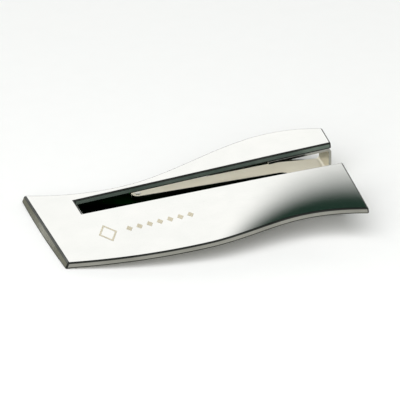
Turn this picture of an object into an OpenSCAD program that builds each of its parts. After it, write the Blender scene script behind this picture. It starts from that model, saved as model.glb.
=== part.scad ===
// Money clip: a wavy polished face plate over a flat lower jaw, joined by a
// folded spring strip at the right end. All sizes in millimetres.
// +X runs along the clip to the folded end, +Y to the back edge, +Z up.

/* [Face plate] */
// Length of the plate
plate_l = 56.1; // [45:0.1:68]
// Width of the plate at its straight left end
end_w = 28.5; // [23.5:0.5:34.5]
// Thickness of the plate
plate_t = 1.2; // [1:0.1:1.6]
// Slope of the plate at rest, up towards the fold
rise_deg = 5.9; // [4.9:0.1:7.1]
// Depth of the waist in the back edge
waist_d = 4.7; // [3:0.1:5.3]
// Height of the crest in the back edge
crest_h = 2.7; // [1:0.1:4]
// Depth of the bulge in the front edge
bulge_d = 4.3; // [2:0.1:5]
// Depth left in the hollow of the front edge
hollow_d = 0.9; // [0:0.1:1.9]
// Depth of the front corner at the right end
corner_d = 3.8; // [2:0.1:6]
// Set-back of that corner from the end of the back prong
end_skew = 1.3; // [0:0.1:1.5]
// How far the lower edge of the left end stands out past the upper edge
end_lean = 0.6; // [0.2:0.1:0.9]
// Radius of the gentle downward roll of the front prong
roll_r = 300; // [250:10:800]

/* [Slot] */
// Distance from the left end to the slot
slot_x = 7.6; // [6:0.1:9]
// Distance from the back corner line to the slot
slot_back = 6.15; // [6:0.05:7.5]
// Width of the slot at its closed left end
slot_w = 5.5; // [4.8:0.1:6]
// Width of the slot at its open right end
slot_mouth_w = 8; // [6.2:0.1:9]

/* [Ornament] */
// Depth of the etched ornament
mark_depth = 0.1; // [0.06:0.01:0.2]
// Distance from the left end to the large lozenge
mark_x = 9.6; // [8:0.1:12]
// Distance from the back corner line to the ornament
mark_y = 21; // [18:0.1:23]
// Number of small lozenges in the row
mark_count = 7; // [3:1:8]

/* [Spring strip] */
// Thickness of the strip
strip_t = 0.5; // [0.4:0.05:0.6]
// Width of the strip at the fold
strip_w = 6; // [5:0.1:6.1]
// Inside radius of the lower fold
fold_r = 0.7; // [0.6:0.05:0.9]
// Length of the flange under the plate
flange_l = 11; // [9:0.5:14]
// Width of the free strap near the fold
strap_w = 4.2; // [3.4:0.1:4.6]
// Width of the free strap at its tip
strap_tip_w = 2.2; // [1.8:0.1:2.6]
// Play between the bead and the fold around it
fold_gap = 0.05; // [0.02:0.01:0.1]

/* [Lower jaw] */
// Thickness of the jaw plate
jaw_t = 0.6; // [0.5:0.05:0.65]
// Distance of the jaw tip from the left end
jaw_x = 8.5; // [8.5:0.1:12]
// Inset of the jaw from the front edge
jaw_inset_front = 10; // [7:0.5:12]
// Inset of the jaw from the back edge
jaw_inset_back = 0.4; // [0.2:0.1:1.5]

/* [Rivets] */
// Radius of the rivet shanks
rivet_r = 0.6; // [0.5:0.05:0.7]
// Radius of the rivet heads
rivet_head_r = 1.2; // [1:0.05:1.4]
// Height of the rivet heads
rivet_head_h = 0.35; // [0.25:0.05:0.4]
// Play around the rivets
rivet_gap = 0.02; // [0.01:0.01:0.04]

/* [Hidden] */
$fn = 64;
steps = 48;

// stations along the plate where the wavy edges turn
waist_x = 0.3 * plate_l;
crest_x = 0.82 * plate_l;
end_ratio = 1 - end_skew / plate_l;
bulge_x = 0.46 * plate_l;
hollow_x = 0.8 * plate_l;

// the part is centred on its bounding box
left_x = -(plate_l - end_lean) * cos(rise_deg) / 2;
lift = end_lean * sin(rise_deg);
end_trim = 0.02;
right_x = left_x + plate_l * cos(rise_deg);
ref_y = (end_w + max(bulge_d, corner_d) - crest_h) / 2;

// the front prong rolls down from a skewed line that meets the right end at roll_y
roll_deg = 14;
roll_y = slot_back + 5.85;

// fold: the axis of the lower bend is the hinge axis
fold_out_r = fold_r + strip_t;
wall_out_x = right_x - 0.2;
fold_x = wall_out_x - fold_out_r;
fold_z = jaw_t + fold_out_r;
top_in_r = 0.3;
top_out_r = top_in_r + strip_t;
top_x = wall_out_x - top_out_r;
top_z = lift + (top_x - left_x) * tan(rise_deg) - top_out_r / cos(rise_deg);
strip_y = ref_y - slot_back / 2;
open_deg = 15;

// strap: root_x is where its flared root meets the narrow leaf
strap_tip_x = 0.33 * plate_l;
root_x = 0.83 * plate_l;
root_full_x = 0.9 * plate_l;
root_y = -1.7;
tip_y = -4.7;
strap_z = jaw_t;

// jaw plate ends short of the fold and backs the strap behind the waist
jaw_end_x = plate_l - 2.6;
jaw_back_at_tip = tip_y + 0.3;
jaw_back_slope = 0.12;

// rivet places: along the plate, from the back corner line
flange_rivets = [plate_l - 4.6, plate_l - 9];
jaw_rivets_at = [[0.9 * plate_l, -4.9], [strap_tip_x + 1.2, tip_y]];
pocket_d = plate_t / 2;

function ease(t) = t * t * (3 - 2 * t);
function dip(t) = 1 - pow(1 - t, 2);

// back edge, measured from the line through the back corners
function back_y(x) =
    x < waist_x ? -waist_d * dip(x / waist_x)
    : x < crest_x ? -waist_d + (waist_d + crest_h) * ease((x - waist_x) / (crest_x - waist_x))
    : crest_h * (1 - pow((x - crest_x) / (plate_l - crest_x), 2));

// front edge, from the same line
function front_y(x) = -end_w - (
    x < bulge_x ? bulge_d * dip(x / bulge_x)
    : x < hollow_x ? bulge_d - (bulge_d - hollow_d) * ease((x - bulge_x) / (hollow_x - bulge_x))
    : hollow_d + (corner_d - hollow_d) * pow((x - hollow_x) / (plate_l - hollow_x), 2));

// the jaw follows the back edge, but stays behind the strap at the waist
function jaw_back_y(x) =
    max(back_y(x) - jaw_inset_back, min(jaw_back_at_tip + jaw_back_slope * (x - jaw_x),
                                        back_y(x) + 1.9));

// stations between two ends, and the way back
function along(x0, x1) = [for (i = [0:steps]) x0 + (x1 - x0) * i / steps];

// from the sloping plate's own frame to the part's frame
module on_plate() {
    translate([left_x, ref_y, lift]) rotate([0, -rise_deg, 0]) children();
}

// from the plan measured off the back left corner to the part's frame
module on_table(z) {
    translate([left_x, ref_y, z]) children();
}

module slot_2d() {
    polygon([[slot_x, -slot_back], [plate_l + 1, -slot_back],
             [plate_l + 1, -slot_back - slot_mouth_w], [slot_x, -slot_back - slot_w]]);
}

// sheet that is flat behind a skewed line and rolls down in front of it
module rolled_sheet() {
    far = 2 * plate_l;
    translate([plate_l, -roll_y, 0]) rotate([0, 0, roll_deg]) {
        translate([-far, 0, 0]) cube([2 * far, far, plate_t]);
        intersection() {
            translate([-far, -far, -far]) cube([2 * far, far, far + 2 * plate_t]);
            translate([0, 0, -roll_r]) rotate([0, 90, 0]) difference() {
                cylinder(h = 2 * far, r = roll_r + plate_t, center = true, $fn = 720);
                cylinder(h = 2 * far + 2, r = roll_r, center = true, $fn = 720);
            }
        }
    }
}

// slanted left end: its lower edge stands out past the upper one by end_lean
module left_end_cut() {
    translate([end_trim, 0, plate_t]) rotate([0, atan((end_lean + end_trim) / plate_t), 0])
        translate([-10, -2 * end_w, -10]) cube([10, 4 * end_w, 20]);
}

module lozenge(a, b) {
    polygon([[-a, 0], [0, -b], [a, 0], [0, b]]);
}

// generic ornament: one open lozenge and a row of small ones
module mark_2d() {
    translate([mark_x, -mark_y]) difference() {
        lozenge(1.7, 3.4);
        lozenge(1.3, 2.6);
    }
    for (i = [0:mark_count - 1])
        translate([mark_x + 4 + 1.9 * i, -mark_y]) lozenge(0.6, 1.1);
}

module mark_body() {
    translate([0, 0, plate_t - mark_depth]) linear_extrude(mark_depth) mark_2d();
}

// side view of the bracket: lower bend, wall, upper bend and flange
module bracket_2d() {
    difference() {
        union() {
            translate([top_x, top_z]) {
                circle(r = top_out_r);
                rotate(rise_deg) translate([-flange_l, 0]) square([flange_l, top_out_r]);
            }
            translate([top_x, fold_z]) square([top_out_r, top_z - fold_z]);
            translate([fold_x, fold_z]) intersection() {
                circle(r = fold_out_r);
                polygon([[0, 0], 9 * [cos(open_deg - 90), sin(open_deg - 90)], [9, -9], [9, 4]]);
            }
        }
        translate([top_x, top_z]) {
            circle(r = top_in_r);
            rotate(rise_deg) translate([-flange_l - 1, -0.5])
                square([flange_l + 1, top_in_r + 0.5]);
        }
        translate([top_x - 2, fold_z]) square([2 + top_in_r, top_z - fold_z]);
        translate([fold_x, fold_z]) circle(r = fold_r);
    }
}

module flange_rivet_pins(r, h) {
    for (x = flange_rivets)
        translate([x, strip_y - ref_y, -strip_t - 0.01]) cylinder(h = h + 0.01, r = r);
}

module face_plate() {
    color("silver") on_plate() difference() {
        intersection() {
            rolled_sheet();
            translate([0, 0, -10]) linear_extrude(20) difference() {
                polygon(concat([[-end_lean - 1, 0]],
                               [for (x = along(0, plate_l)) [x, back_y(x)]],
                               [for (x = along(plate_l, 0)) [x * end_ratio, front_y(x)]],
                               [[-end_lean - 1, -end_w]]));
                slot_2d();
            }
        }
        left_end_cut();
        mark_body();
        flange_rivet_pins(rivet_r + rivet_gap, strip_t + pocket_d + rivet_gap);
    }
}

module mark_inlay() {
    color("tan") on_plate() mark_body();
}

module spring_bracket() {
    color("gainsboro") difference() {
        translate([0, strip_y + strip_w / 2, 0]) rotate([90, 0, 0])
            linear_extrude(strip_w) bracket_2d();
        on_plate() flange_rivet_pins(rivet_r + rivet_gap, 2 * strip_t);
    }
}

module bracket_rivets() {
    color("silver") on_plate() for (x = flange_rivets)
        translate([x, strip_y - ref_y, 0]) {
            translate([0, 0, -strip_t]) cylinder(h = strip_t + pocket_d, r = rivet_r);
            translate([0, 0, -strip_t - rivet_head_h])
                cylinder(h = rivet_head_h, r1 = rivet_head_r * 0.8, r2 = rivet_head_r);
        }
}

// plan of the strap: flared root, skewed leaf and rounded tip
module strap_2d() {
    half = strap_w / 2;
    tip = strap_tip_w / 2;
    y_mid = strip_y - ref_y;
    polygon([[fold_x - left_x, y_mid + strip_w / 2], [root_x, root_y + half],
             [strap_tip_x + tip, tip_y + tip], [strap_tip_x + tip, tip_y - tip],
             [root_x, root_y - half], [root_full_x, y_mid - strip_w / 2],
             [fold_x - left_x, y_mid - strip_w / 2]]);
    translate([strap_tip_x + tip, tip_y]) circle(r = tip);
}

module spring_strap() {
    color("wheat") {
        difference() {
            on_table(strap_z) linear_extrude(strip_t) strap_2d();
            jaw_rivet_pins(rivet_r + rivet_gap);
        }
        translate([fold_x, strip_y + strip_w / 2, fold_z]) rotate([90, 0, 0])
            cylinder(h = strip_w, r = fold_r - fold_gap);
        translate([fold_x - fold_r * 0.7, strip_y - strip_w / 2, strap_z])
            cube([fold_r * 0.7, strip_w, fold_z - fold_r * 0.7 - strap_z]);
    }
}

module jaw_rivet_pins(r) {
    for (p = jaw_rivets_at)
        on_table(-1) translate(p) cylinder(h = jaw_t + strip_t + 2, r = r);
}

module jaw_plate() {
    color("dimgray") difference() {
        on_table(0) linear_extrude(jaw_t)
            polygon(concat(
                [for (x = along(jaw_x, jaw_end_x)) [x, jaw_back_y(x)]],
                [for (x = along(jaw_end_x, jaw_x)) [x, front_y(x) + jaw_inset_front]]));
        jaw_rivet_pins(rivet_r + rivet_gap);
    }
}

module jaw_rivets() {
    color("silver") for (p = jaw_rivets_at)
        on_table(0) translate(p) cylinder(h = jaw_t + strip_t, r = rivet_r);
}

face_plate();
mark_inlay();
spring_bracket();
bracket_rivets();
spring_strap();
jaw_plate();
jaw_rivets();
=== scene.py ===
import math

import bmesh
import bpy
from mathutils import Matrix, Vector


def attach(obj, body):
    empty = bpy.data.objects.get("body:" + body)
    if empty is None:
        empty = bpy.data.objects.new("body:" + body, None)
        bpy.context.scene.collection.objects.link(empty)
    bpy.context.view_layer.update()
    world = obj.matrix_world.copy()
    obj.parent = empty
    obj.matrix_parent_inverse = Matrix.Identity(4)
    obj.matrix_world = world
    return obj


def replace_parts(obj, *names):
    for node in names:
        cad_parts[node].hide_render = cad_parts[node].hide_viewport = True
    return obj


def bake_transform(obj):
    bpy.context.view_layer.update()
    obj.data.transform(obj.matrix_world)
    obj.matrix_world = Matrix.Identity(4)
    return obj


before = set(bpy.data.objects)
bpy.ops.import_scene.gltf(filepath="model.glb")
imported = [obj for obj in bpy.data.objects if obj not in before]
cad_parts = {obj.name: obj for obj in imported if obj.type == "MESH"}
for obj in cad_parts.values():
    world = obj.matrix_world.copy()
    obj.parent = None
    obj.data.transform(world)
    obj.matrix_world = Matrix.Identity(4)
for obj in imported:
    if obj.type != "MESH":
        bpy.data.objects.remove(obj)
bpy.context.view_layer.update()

MM = 0.001

# sizes of the design, in millimetres, as in part.scad
PLATE_L, END_W, PLATE_T = 56.1, 28.5, 1.2
RISE = math.radians(5.9)
WAIST_D, CREST_H, BULGE_D, HOLLOW_D, CORNER_D = 4.7, 2.7, 4.3, 0.9, 3.8
WAIST_X, CREST_X, BULGE_X, HOLLOW_X = [f * PLATE_L for f in (0.3, 0.82, 0.46, 0.8)]
END_SKEW, END_LEAN, END_BOW = 1.3, 0.6, 0.3
END_RATIO = 1 - END_SKEW / PLATE_L
ROLL_Y, ROLL_SKEW, ROLL_K, ROLL_FADE = -71.65, 1.577, 0.0051, 0.122
SLOT_X, SLOT_BACK, SLOT_W, SLOT_MOUTH_W = 7.6, 6.15, 5.5, 8.0
MARK_X, MARK_Y, MARK_PROUD = 9.6, 21.0, 0.012
MARK_COUNT, MARK_START, MARK_PITCH = 7, 4.0, 1.9
LARGE_LOZENGE, LARGE_HOLE, SMALL_LOZENGE = (1.7, 3.4), 0.765, (0.6, 1.1)
STRIP_T, STRIP_W, FOLD_R, FLANGE_L = 0.5, 6.0, 0.7, 11.0
STRAP_W, STRAP_TIP_W = 4.2, 2.2
JAW_T = 0.6
LEFT_X = -(PLATE_L - END_LEAN) * math.cos(RISE) / 2
LIFT = END_LEAN * math.sin(RISE)
RIGHT_X = LEFT_X + PLATE_L * math.cos(RISE)
REF_Y = (END_W + max(BULGE_D, CORNER_D) - CREST_H) / 2
FOLD_OUT_R = FOLD_R + STRIP_T
WALL_OUT_X = RIGHT_X - 0.2
FOLD_X, FOLD_Z = WALL_OUT_X - FOLD_OUT_R, JAW_T + FOLD_OUT_R
TOP_IN_R = 0.3
TOP_OUT_R = TOP_IN_R + STRIP_T
TOP_X = WALL_OUT_X - TOP_OUT_R
TOP_Z = LIFT + (TOP_X - LEFT_X) * math.tan(RISE) - TOP_OUT_R / math.cos(RISE)
STRIP_Y = REF_Y - SLOT_BACK / 2
STRAP_TIP_X, ROOT_X, ROOT_FULL_X = [f * PLATE_L for f in (0.33, 0.83, 0.9)]
ROOT_Y, TIP_Y = -1.7, -4.7
JAW_X, JAW_END_X, JAW_INSET_FRONT, JAW_INSET_BACK = 8.5, PLATE_L - 2.6, 10.0, 0.4
JAW_BACK_AT_TIP, JAW_BACK_SLOPE, JAW_BACK_MAX = TIP_Y + 0.3, 0.12, 1.9
PLATE_BEVEL, STRIP_BEVEL, JAW_BEVEL = 0.28, 0.07, 0.12
RIVET_R, RIVET_HEAD_R, RIVET_HEAD_H = 0.6, 1.2, 0.35
FLANGE_RIVETS = (PLATE_L - 4.6, PLATE_L - 9)
JAW_RIVETS = ((0.9 * PLATE_L, -4.9), (STRAP_TIP_X + 1.2, TIP_Y))


def ease(t):
    return t * t * (3 - 2 * t)


def dip(t):
    return 1 - (1 - t) ** 2


def back_y(x):
    """Back edge of the face plate, from the line through its back corners."""
    if x < WAIST_X:
        return -WAIST_D * dip(x / WAIST_X)
    if x < CREST_X:
        return -WAIST_D + (WAIST_D + CREST_H) * ease((x - WAIST_X) / (CREST_X - WAIST_X))
    return CREST_H * (1 - ((x - CREST_X) / (PLATE_L - CREST_X)) ** 2)


def front_y(x):
    """Front edge of the face plate, from the same line."""
    if x < BULGE_X:
        depth = BULGE_D * dip(x / BULGE_X)
    elif x < HOLLOW_X:
        depth = BULGE_D - (BULGE_D - HOLLOW_D) * ease((x - BULGE_X) / (HOLLOW_X - BULGE_X))
    else:
        depth = HOLLOW_D + (CORNER_D - HOLLOW_D) * ((x - HOLLOW_X) / (PLATE_L - HOLLOW_X)) ** 2
    return -END_W - depth


def slot_front(x):
    """Front edge of the slot."""
    return -SLOT_BACK - SLOT_W - (SLOT_MOUTH_W - SLOT_W) * (x - SLOT_X) / (PLATE_L - SLOT_X)


def jaw_back_y(x):
    """Back edge of the jaw plate, which backs the strap behind the waist."""
    return max(back_y(x) - JAW_INSET_BACK,
               min(JAW_BACK_AT_TIP + JAW_BACK_SLOPE * (x - JAW_X), back_y(x) + JAW_BACK_MAX))


def roll(x, y):
    """Drop of the sheet in front of a skewed line, gentler towards the fold."""
    s = ROLL_Y + ROLL_SKEW * x - y
    return ROLL_K * math.exp(-ROLL_FADE * x) * s ** 3 if s > 0 else 0.0


def on_plate(x, y, z):
    """From the sloping plate's frame to the part's frame, in metres."""
    return Vector((LEFT_X + x * math.cos(RISE) - z * math.sin(RISE), REF_Y + y,
                   LIFT + x * math.sin(RISE) + z * math.cos(RISE))) * MM


def on_table(x, y, z):
    return Vector((LEFT_X + x, REF_Y + y, z)) * MM


# ---------------------------------------------------------------- camera
CAM_AZ, CAM_EL = -16.6, 26.0
CAM_LENS, PX_PER_MM = 1100.0, 5.6
az, el = math.radians(CAM_AZ), math.radians(CAM_EL)
cam_back = Vector((math.sin(az) * math.cos(el), -math.cos(az) * math.cos(el), math.sin(el)))
cam_right = Vector((math.cos(az), math.sin(az), 0))
cam_up = cam_back.cross(cam_right)
cam_data = bpy.data.cameras.new("camera")
cam_data.lens = CAM_LENS
cam_dist = 400 / PX_PER_MM * CAM_LENS / 36
cam = bpy.data.objects.new("camera", cam_data)
bpy.context.scene.collection.objects.link(cam)
cam.location = (cam_right * 0.64 + cam_up * 3.14 + cam_back * (1.3 + cam_dist)) * MM
cam.rotation_euler = Matrix((cam_right, cam_up, cam_back)).transposed().to_euler()
cam_data.clip_start, cam_data.clip_end = 0.01, 10
bpy.context.scene.camera = cam


# ---------------------------------------------------------------- node helpers
class Nodes:
    """Short hand for building one procedural material."""

    def __init__(self, name):
        self.mat = bpy.data.materials.new(name)
        self.mat.use_nodes = True
        self.tree = self.mat.node_tree
        self.bsdf = self.tree.nodes["Principled BSDF"]
        self.coord = self.tree.nodes.new("ShaderNodeTexCoord").outputs["Object"]

    def new(self, kind, **values):
        node = self.tree.nodes.new(kind)
        for key, value in values.items():
            if hasattr(node, key):
                setattr(node, key, value)
            else:
                node.inputs[key.replace("_", " ")].default_value = value
        return node

    def link(self, a, b):
        self.tree.links.new(a, b)

    def stretched(self, scale, turn=0.0):
        """Object coordinates scaled per axis, for brushing and scratches."""
        m = self.new("ShaderNodeMapping")
        m.inputs["Scale"].default_value = scale
        m.inputs["Rotation"].default_value = (0, 0, turn)
        self.link(self.coord, m.inputs["Vector"])
        return m.outputs["Vector"]

    def noise(self, vector, scale, detail=4.0, rough=0.5):
        n = self.new("ShaderNodeTexNoise", Scale=scale, Detail=detail, Roughness=rough)
        self.link(vector, n.inputs["Vector"])
        return n.outputs["Fac"]

    def ramp(self, fac, low, high, a=0.0, b=1.0):
        m = self.new("ShaderNodeMapRange")
        for key, value in (("From Min", low), ("From Max", high), ("To Min", a), ("To Max", b)):
            m.inputs[key].default_value = value
        self.link(fac, m.inputs["Value"])
        return m.outputs["Result"]

    def mix(self, fac, a, b):
        m = self.new("ShaderNodeMix")
        m.data_type = "RGBA"
        m.inputs["A"].default_value, m.inputs["B"].default_value = a, b
        self.link(fac, m.inputs["Factor"])
        return m.outputs["Result"]

    def math(self, op, a, b):
        m = self.new("ShaderNodeMath", operation=op)
        for socket, value in zip(m.inputs, (a, b)):
            if hasattr(value, "is_linked"):
                self.link(value, socket)
            else:
                socket.default_value = value
        return m.outputs["Value"]

    def bump(self, height, strength, distance):
        b = self.new("ShaderNodeBump", Strength=strength, Distance=distance)
        self.link(height, b.inputs["Height"])
        self.link(b.outputs["Normal"], self.bsdf.inputs["Normal"])


def metal(name, dark, light, rough, brush=None, bump=0.0, wear=0.0):
    """Metal with mottled tone, streaky polish and optional brushing."""
    n = Nodes(name)
    n.bsdf.inputs["Metallic"].default_value = 1.0
    cloud = n.noise(n.coord, 220.0, 5.0)
    n.link(n.mix(n.ramp(cloud, 0.3, 0.7), (*dark, 1), (*light, 1)), n.bsdf.inputs["Base Color"])
    streak = n.noise(n.stretched(brush or (1, 1, 1)), 900.0, 6.0, 0.6)
    fine = n.ramp(streak, 0.35, 0.7, rough[0], rough[1])
    if wear:
        bevel = n.new("ShaderNodeNewGeometry").outputs["Pointiness"]
        fine = n.math("ADD", fine, n.ramp(bevel, 0.5, 0.56, 0.0, wear))
    n.link(fine, n.bsdf.inputs["Roughness"])
    if bump:
        n.bump(streak, bump, 0.00002)
    return n


polished = metal("polished_face", (0.86, 0.865, 0.85), (0.90, 0.90, 0.885), (0.03, 0.055),
                 (1, 12, 1), 0.0, 0.04)
edge = metal("edge_polished", (0.66, 0.66, 0.62), (0.82, 0.82, 0.78), (0.08, 0.20),
             (1, 1, 26), 0.05)
# painted shade: the face plate's bevels get this near-black metal, a dark line along the rounded
# edges that stands in for their shade and dark reflection
rim = metal("rim_painted_shade", (0.05, 0.055, 0.05), (0.10, 0.105, 0.10), (0.14, 0.26), (1, 12, 1), 0.0)
# painted reflection: the plate's walls inside the slot are tinted dark green for the dark
# reflection and shade seen there, though they are the plate's own metal
slot_wall_painted_reflection = metal("slot_wall_painted_reflection", (0.12, 0.17, 0.14), (0.22, 0.27, 0.23), (0.10, 0.22), (1, 1, 26),
                  0.05)
slot_wall_painted_reflection.bsdf.inputs["Metallic"].default_value = 0.5
# painted reflection: the strip's leaf is tinted warm beige and its part past the fold (strip_wall
# below) light gray, one piece of metal in two tones for the light each part reflects
satin = metal("satin_strip", (0.90, 0.84, 0.68), (0.97, 0.92, 0.77), (0.30, 0.42),
              (1, 30, 1), 0.10)
satin.bsdf.inputs["Metallic"].default_value = 0.7
strip_wall = metal("strip_wall", (0.66, 0.67, 0.64), (0.76, 0.77, 0.74), (0.20, 0.32),
                   (1, 30, 1), 0.05)
rivet = metal("rivet_metal", (0.60, 0.58, 0.54), (0.72, 0.70, 0.66), (0.18, 0.30), None, 0.06)
# painted shade: the jaw is near-black metal with a green-tinted sheen, so that the slot shows
# deep shade under the plate
jaw = metal("dark_jaw", (0.012, 0.017, 0.014), (0.022, 0.028, 0.024), (0.12, 0.24),
            (1, 14, 1), 0.05)
jaw.bsdf.inputs["Specular Tint"].default_value = (0.30, 0.34, 0.31, 1)
etched = metal("etched_mark", (0.80, 0.72, 0.54), (0.88, 0.80, 0.62), (0.30, 0.42), None, 0.15)
etched.bsdf.inputs["Metallic"].default_value = 0.6


# ---------------------------------------------------------------- mesh helpers
def finish_mesh(name, bm, materials, body, bevel=0.0, segments=3, edge_slot=-1):
    mesh = bpy.data.meshes.new(name)
    bmesh.ops.recalc_face_normals(bm, faces=bm.faces[:])
    bm.to_mesh(mesh)
    bm.free()
    piece = bpy.data.objects.new(name, mesh)
    bpy.context.scene.collection.objects.link(piece)
    for material in materials:
        mesh.materials.append(material.mat)
    for p in mesh.polygons:
        p.use_smooth = True
    if bevel:
        mod = piece.modifiers.new("edge", "BEVEL")
        mod.width, mod.segments = bevel * MM, segments
        mod.limit_method, mod.angle_limit = "ANGLE", math.radians(40)
        mod.harden_normals = True
        mod.use_clamp_overlap = False
        mod.material = edge_slot
    weighted = piece.modifiers.new("normals", "WEIGHTED_NORMAL")
    weighted.keep_sharp = True
    if body:
        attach(piece, body)
    return piece


def slab(bm, rows, top, bottom):
    """Vertices for the top and bottom of a slab over a grid of (x, y) rows; the caller adds the
    faces. top and bottom turn (x, y) into a point."""
    up = [[bm.verts.new(top(*p)) for p in row] for row in rows]
    down = [[bm.verts.new(bottom(*p)) for p in row] for row in rows]
    return up, down


def face_plate():
    """The wavy plate as one grid, with the slot's cells left out."""
    bm = bmesh.new()
    left_cols, right_cols = 12, 110
    xs = [SLOT_X * i / left_cols for i in range(left_cols)]
    xs += [SLOT_X + (PLATE_L - SLOT_X) * i / right_cols for i in range(right_cols + 1)]
    n_back, n_slot, n_front = 3, 6, 34
    rows = []
    for x in xs:
        lines = [back_y(x), -SLOT_BACK, slot_front(x), front_y(x)]
        ys = []
        for (a, b), n in zip(zip(lines, lines[1:]), (n_back, n_slot, n_front)):
            ys += [a + (b - a) * j / n for j in range(n)]
        ys.append(lines[-1])
        shrink = [1 - (1 - END_RATIO) * y / lines[-1] for y in ys]
        rows.append([(x * k, y) for k, y in zip(shrink, ys)])

    def lean(x, y):
        """The lower edge of the left end stands out in a shallow bow."""
        across = 2 * y / front_y(0) - 1
        return END_LEAN + END_BOW * (1 - across ** 2) if x == 0 else 0.0

    up, down = slab(bm, rows,
                    lambda x, y: on_plate(x, y, PLATE_T - roll(x, y)),
                    lambda x, y: on_plate(x - lean(x, y), y, -roll(x, y)))
    n_y = n_back + n_slot + n_front

    def solid(i, j):
        if not (0 <= i < len(xs) - 1 and 0 <= j < n_y):
            return False
        return not (i >= left_cols and n_back <= j < n_back + n_slot)

    for i in range(len(xs) - 1):
        for j in range(n_y):
            if not solid(i, j):
                continue
            bm.faces.new((up[i][j], up[i + 1][j], up[i + 1][j + 1], up[i][j + 1]))
            bm.faces.new((down[i][j], down[i][j + 1], down[i + 1][j + 1], down[i + 1][j]))
            for di, dj, p, q in ((-1, 0, (i, j), (i, j + 1)), (1, 0, (i + 1, j), (i + 1, j + 1)),
                                 (0, -1, (i, j), (i + 1, j)), (0, 1, (i, j + 1), (i + 1, j + 1))):
                if not solid(i + di, j + dj):
                    wall = bm.faces.new((up[p[0]][p[1]], up[q[0]][q[1]],
                                         down[q[0]][q[1]], down[p[0]][p[1]]))
                    in_slot = 0 <= i + di < len(xs) - 1 and 0 <= j + dj < n_y
                    # walls inside the slot take slot 3, the painted dark-green reflection; the
                    # outer edges take slot 1
                    wall.material_index = 3 if in_slot else 1
    loose = [v for v in bm.verts if not v.link_faces]
    bmesh.ops.delete(bm, geom=loose, context="VERTS")
    # the bevels take slot 2, the painted dark rim line
    piece = finish_mesh("face_plate_polished", bm, (polished, edge, rim, slot_wall_painted_reflection),
                        "face", PLATE_BEVEL, 4, 2)
    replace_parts(piece, "face_plate")
    return piece


face_plate()


def mark():
    """Generic ornament: an open lozenge and a row of small ones, a hair proud of the plate."""
    bm = bmesh.new()

    def lozenge(cx, a, b, hole=0.0):
        outer = [(cx - a, 0), (cx, -b), (cx + a, 0), (cx, b)]
        ring = [on_plate(x, -MARK_Y + y, PLATE_T + MARK_PROUD - roll(x, -MARK_Y + y))
                for x, y in outer]
        verts = [bm.verts.new(p) for p in ring]
        if not hole:
            bm.faces.new(verts)
            return
        inner = [(cx + (x - cx) * hole, y * hole) for x, y in outer]
        cut = [bm.verts.new(on_plate(x, -MARK_Y + y, PLATE_T + MARK_PROUD
                                     - roll(x, -MARK_Y + y))) for x, y in inner]
        for k in range(4):
            bm.faces.new((verts[k], verts[(k + 1) % 4], cut[(k + 1) % 4], cut[k]))

    lozenge(MARK_X, *LARGE_LOZENGE, LARGE_HOLE)
    for i in range(MARK_COUNT):
        lozenge(MARK_X + MARK_START + MARK_PITCH * i, *SMALL_LOZENGE)
    piece = finish_mesh("mark_etched", bm, (etched,), "face")
    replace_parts(piece, "mark_inlay")


mark()


def strap_edges(x):
    """Front and back edge of the strip at plan station x: tip, leaf, flare and full width."""
    tip, half, mid = STRAP_TIP_W / 2, STRAP_W / 2, -SLOT_BACK / 2
    centre = STRAP_TIP_X + tip
    if x < centre:
        reach = math.sqrt(max(tip ** 2 - (centre - x) ** 2, 0.0))
        return TIP_Y - reach, TIP_Y + reach
    if x < ROOT_X:
        t = (x - centre) / (ROOT_X - centre)
        y, reach = TIP_Y + (ROOT_Y - TIP_Y) * t, tip + (half - tip) * t
        return y - reach, y + reach
    flare = ease(min((x - ROOT_X) / (ROOT_FULL_X - ROOT_X), 1.0))
    to_fold = (x - ROOT_X) / (FOLD_X - LEFT_X - ROOT_X)
    front = ROOT_Y - half + (mid - STRIP_W / 2 - ROOT_Y + half) * flare
    back = ROOT_Y + half + (mid + STRIP_W / 2 - ROOT_Y - half) * to_fold
    return front, back


def strip_path():
    """Stations of the strip: centre line, outward normal and the two side edges, in mm."""
    stations = []
    wide = (STRIP_Y - STRIP_W / 2, STRIP_Y + STRIP_W / 2)
    tip = STRAP_TIP_W / 2
    xs = [STRAP_TIP_X + tip * (1 - math.cos(math.pi / 2 * i / 8)) for i in range(1, 8)]
    xs += [STRAP_TIP_X + tip + (ROOT_X - STRAP_TIP_X - tip) * i / 30 for i in range(31)]
    xs += [ROOT_X + (FOLD_X - LEFT_X - ROOT_X) * i / 16 for i in range(1, 17)]
    for x in xs:
        front, back = strap_edges(x)
        stations.append((LEFT_X + x, JAW_T + STRIP_T / 2, 0, -1, REF_Y + front, REF_Y + back))
    bends = ((FOLD_X, FOLD_Z, FOLD_R, -90, 0, 10), (TOP_X, TOP_Z, TOP_IN_R, 0,
                                                   90 + math.degrees(RISE), 10))
    for cx, cz, inner, a0, a1, n in bends:
        for i in range(n + 1):
            a = math.radians(a0 + (a1 - a0) * i / n)
            r = inner + STRIP_T / 2
            stations.append((cx + r * math.cos(a), cz + r * math.sin(a),
                             math.cos(a), math.sin(a), *wide))
    x, z, nx, nz, *_ = stations[-1]
    for i in range(1, 13):
        d = FLANGE_L * i / 12
        stations.append((x - d * math.cos(RISE), z - d * math.sin(RISE), nx, nz, *wide))
    return stations


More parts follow.
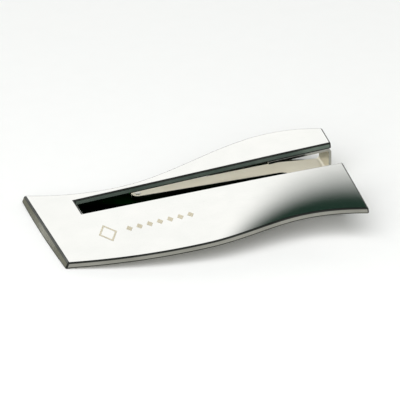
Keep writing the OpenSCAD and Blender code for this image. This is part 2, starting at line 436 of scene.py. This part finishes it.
def spring_strip():
    """One bent strip: leaf over the jaw, fold, end wall, and flange under the plate."""
    bm = bmesh.new()
    across = 6
    sides = {1: [], -1: []}
    for x, z, nx, nz, y0, y1 in strip_path():
        for side, rings in sides.items():
            h = side * STRIP_T / 2
            rings.append([bm.verts.new(Vector((x + nx * h, y0 + (y1 - y0) * j / across,
                                               z + nz * h)) * MM) for j in range(across + 1)])
    outer, inner = sides[1], sides[-1]
    last = len(outer) - 1
    # painted reflection: faces past the fold take the light-gray strip_wall, the leaf the beige
    # satin
    past_fold = [station[1] > FOLD_Z for station in strip_path()]
    for i in range(last):
        for j in range(across):
            for corners in ((outer[i][j], outer[i + 1][j], outer[i + 1][j + 1], outer[i][j + 1]),
                            (inner[i][j], inner[i][j + 1], inner[i + 1][j + 1], inner[i + 1][j])):
                bm.faces.new(corners).material_index = 2 if past_fold[i] else 0
        for j in (0, across):
            side = bm.faces.new((outer[i][j], outer[i + 1][j], inner[i + 1][j], inner[i][j]))
            side.material_index = 1
    for i in (0, last):
        for j in range(across):
            bm.faces.new((outer[i][j], outer[i][j + 1], inner[i][j + 1], inner[i][j]))
    piece = finish_mesh("spring_strip", bm, (satin, edge, strip_wall), None,
                        STRIP_BEVEL, 2)
    apply_modifiers(piece)
    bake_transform(piece)
    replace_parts(piece, "spring_bracket", "spring_strap")


def apply_modifiers(piece):
    """Make the modifiers' result the mesh itself, as a blended piece needs."""
    graph = bpy.context.evaluated_depsgraph_get()
    final = bpy.data.meshes.new_from_object(piece.evaluated_get(graph))
    piece.modifiers.clear()
    piece.data = final


spring_strip()


def jaw_plate():
    """Flat lower jaw, as a grid between its two wavy edges."""
    bm = bmesh.new()
    n_x, n_y = 60, 12
    rows = []
    for i in range(n_x + 1):
        x = JAW_X + (JAW_END_X - JAW_X) * i / n_x
        y0, y1 = jaw_back_y(x), front_y(x) + JAW_INSET_FRONT
        rows.append([(x, y0 + (y1 - y0) * j / n_y) for j in range(n_y + 1)])
    up, down = slab(bm, rows, lambda x, y: on_table(x, y, JAW_T),
                    lambda x, y: on_table(x, y, 0))
    for i in range(n_x):
        for j in range(n_y):
            bm.faces.new((up[i][j], up[i + 1][j], up[i + 1][j + 1], up[i][j + 1]))
            bm.faces.new((down[i][j], down[i][j + 1], down[i + 1][j + 1], down[i + 1][j]))
        for j in (0, n_y):
            bm.faces.new((up[i][j], up[i + 1][j], down[i + 1][j], down[i][j]))
    for i in (0, n_x):
        for j in range(n_y):
            bm.faces.new((up[i][j], up[i][j + 1], down[i][j + 1], down[i][j]))
    # the jaw takes the near-black painted shade material
    piece = finish_mesh("jaw_plate_dark", bm, (jaw,), "jaw", JAW_BEVEL, 3)
    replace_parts(piece, "jaw_plate")


jaw_plate()


def turned(bm, profile, place, segments=32):
    """Solid of revolution from (radius, height) points, put in place by a function."""
    rings = []
    for r, z in profile:
        rings.append([bm.verts.new(place(r * math.cos(a), r * math.sin(a), z))
                      for a in [2 * math.pi * k / segments for k in range(segments)]])
    for low, high in zip(rings, rings[1:]):
        for k in range(segments):
            n = (k + 1) % segments
            bm.faces.new((low[k], low[n], high[n], high[k]))
    bm.faces.new(rings[0])
    bm.faces.new(rings[-1])


def dome(radius, height, z, up, rim_r):
    """Profile of a low domed head that starts on its seat at z."""
    points = [(radius, z), (radius, z + up * height * 0.25)]
    points += [(radius * math.cos(t), z + up * height * (0.25 + 0.75 * math.sin(t)))
               for t in [math.pi / 2 * k / 7 for k in range(1, 7)]]
    return [(rim_r, z - up * 0.05)] + points


def rivets():
    """Flange rivets with domed heads, and flush rivets through strap and jaw."""
    bm = bmesh.new()
    for x in FLANGE_RIVETS:
        turned(bm, dome(RIVET_HEAD_R, RIVET_HEAD_H, -STRIP_T, -1, RIVET_R),
               lambda a, b, z, x=x: on_plate(x + a, STRIP_Y - REF_Y + b, z))
    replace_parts(finish_mesh("flange_rivet_heads", bm, (rivet,), "face"),
                "bracket_rivets")
    bm = bmesh.new()
    for x, y in JAW_RIVETS:
        top = JAW_T + STRIP_T
        turned(bm, dome(RIVET_R, 0.05, top, 1, RIVET_R),
               lambda a, b, z, x=x, y=y: on_table(x + a, y + b, z))
        turned(bm, [(RIVET_R, 0.03), (RIVET_R, 0.02), (RIVET_R * 0.9, 0.0)],
               lambda a, b, z, x=x, y=y: on_table(x + a, y + b, z))
    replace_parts(finish_mesh("jaw_rivet_ends", bm, (rivet,), "jaw"), "jaw_rivets")


rivets()

# ---------------------------------------------------------------- floor and light
floor_mesh = bpy.data.meshes.new("floor")
half = 3.0
floor_mesh.from_pydata([(-half, -half, 0), (half, -half, 0), (half, half, 0), (-half, half, 0)],
                       [], [(0, 1, 2, 3)])
floor = bpy.data.objects.new("floor", floor_mesh)
bpy.context.scene.collection.objects.link(floor)
floor.location.z = -0.00002
# the plate mirrors the dim ground of the studio, not the pale floor
floor.visible_glossy = False
floor_mat = Nodes("floor")
floor_mat.bsdf.inputs["Roughness"].default_value = 0.9
floor_mat.bsdf.inputs["Specular IOR Level"].default_value = 0.2
grain = floor_mat.noise(floor_mat.coord, 300.0)
floor_mat.link(floor_mat.mix(grain, (0.93, 0.93, 0.925, 1), (0.95, 0.95, 0.945, 1)),
               floor_mat.bsdf.inputs["Base Color"])
floor_mesh.materials.append(floor_mat.mat)

# studio: bright sweep behind the object with a dark card over it, dim room and ground
world = bpy.data.worlds.new("studio")
bpy.context.scene.world = world
world.use_nodes = True
wt = world.node_tree
background = wt.nodes["Background"]


def wnode(kind, **values):
    node = wt.nodes.new(kind)
    for key, value in values.items():
        if hasattr(node, key):
            setattr(node, key, value)
        else:
            node.inputs[key.replace("_", " ")].default_value = value
    return node


def wrange(value, lo, hi, a=0.0, b=1.0):
    m = wnode("ShaderNodeMapRange")
    m.interpolation_type = "SMOOTHSTEP"
    for key, v in (("From Min", lo), ("From Max", hi), ("To Min", a), ("To Max", b)):
        m.inputs[key].default_value = v
    wt.links.new(value, m.inputs["Value"])
    return m.outputs["Result"]


def wmix(fac, a, b):
    m = wnode("ShaderNodeMix")
    m.data_type = "RGBA"
    wt.links.new(fac, m.inputs["Factor"])
    for key, value in (("A", a), ("B", b)):
        if hasattr(value, "is_linked"):
            wt.links.new(value, m.inputs[key])
        else:
            m.inputs[key].default_value = (*value, 1)
    return m.outputs["Result"]


def sin_deg(angle):
    return math.sin(math.radians(angle))


SWEEP, CARD = (1.08, 1.08, 1.055), (0.015, 0.036, 0.025)
WALLS, CEILING = (0.52, 0.53, 0.52), (0.34, 0.35, 0.34)
GROUND_FAR, GROUND_NEAR = (0.22, 0.22, 0.18), (0.40, 0.40, 0.37)
SWEEP_LOW, SWEEP_TOP = (0.0, 4.0), (29.1, 33.5)
ray = wnode("ShaderNodeTexCoord").outputs["Generated"]
split = wnode("ShaderNodeSeparateXYZ")
wt.links.new(ray, split.inputs[0])
height = split.outputs["Z"]
behind_node = wnode("ShaderNodeVectorMath", operation="DOT_PRODUCT")
wt.links.new(ray, behind_node.inputs[0])
behind_node.inputs[1].default_value = (-math.sin(az), math.cos(az), 0)
behind = behind_node.outputs["Value"]
under_top = wrange(height, sin_deg(SWEEP_TOP[1]), sin_deg(SWEEP_TOP[0]))
over_low = wrange(height, sin_deg(SWEEP_LOW[0]), sin_deg(SWEEP_LOW[1]))
room = wmix(wrange(height, 0.2, 0.9), WALLS, CEILING)
card = wmix(wrange(behind, 0.2, 0.45), room, CARD)
sweep = wmix(wrange(behind, 0.05, 0.4), WALLS, SWEEP)
ground = wmix(wrange(behind, -0.3, 0.1), GROUND_NEAR, GROUND_FAR)
above = wmix(under_top, card, sweep)
wt.links.new(wmix(over_low, ground, above), background.inputs["Color"])
background.inputs["Strength"].default_value = 1.0


def area_light(name, azimuth, elevation, distance, size, power):
    a, e = math.radians(azimuth), math.radians(elevation)
    d = Vector((math.sin(a) * math.cos(e), -math.cos(a) * math.cos(e), math.sin(e)))
    data = bpy.data.lights.new(name, "AREA")
    data.size, data.energy = size, power
    lamp = bpy.data.objects.new(name, data)
    bpy.context.scene.collection.objects.link(lamp)
    lamp.location = d * distance
    lamp.rotation_euler = d.to_track_quat("Z", "Y").to_euler()
    return lamp


# a lamp that lights the floor and the satin strip but stays out of the mirror's view
top_lamp = area_light("top_lamp", -30, 50, 0.6, 1.0, 6.0)
top_lamp.visible_glossy = False

bpy.context.scene.view_settings.view_transform = "Standard"
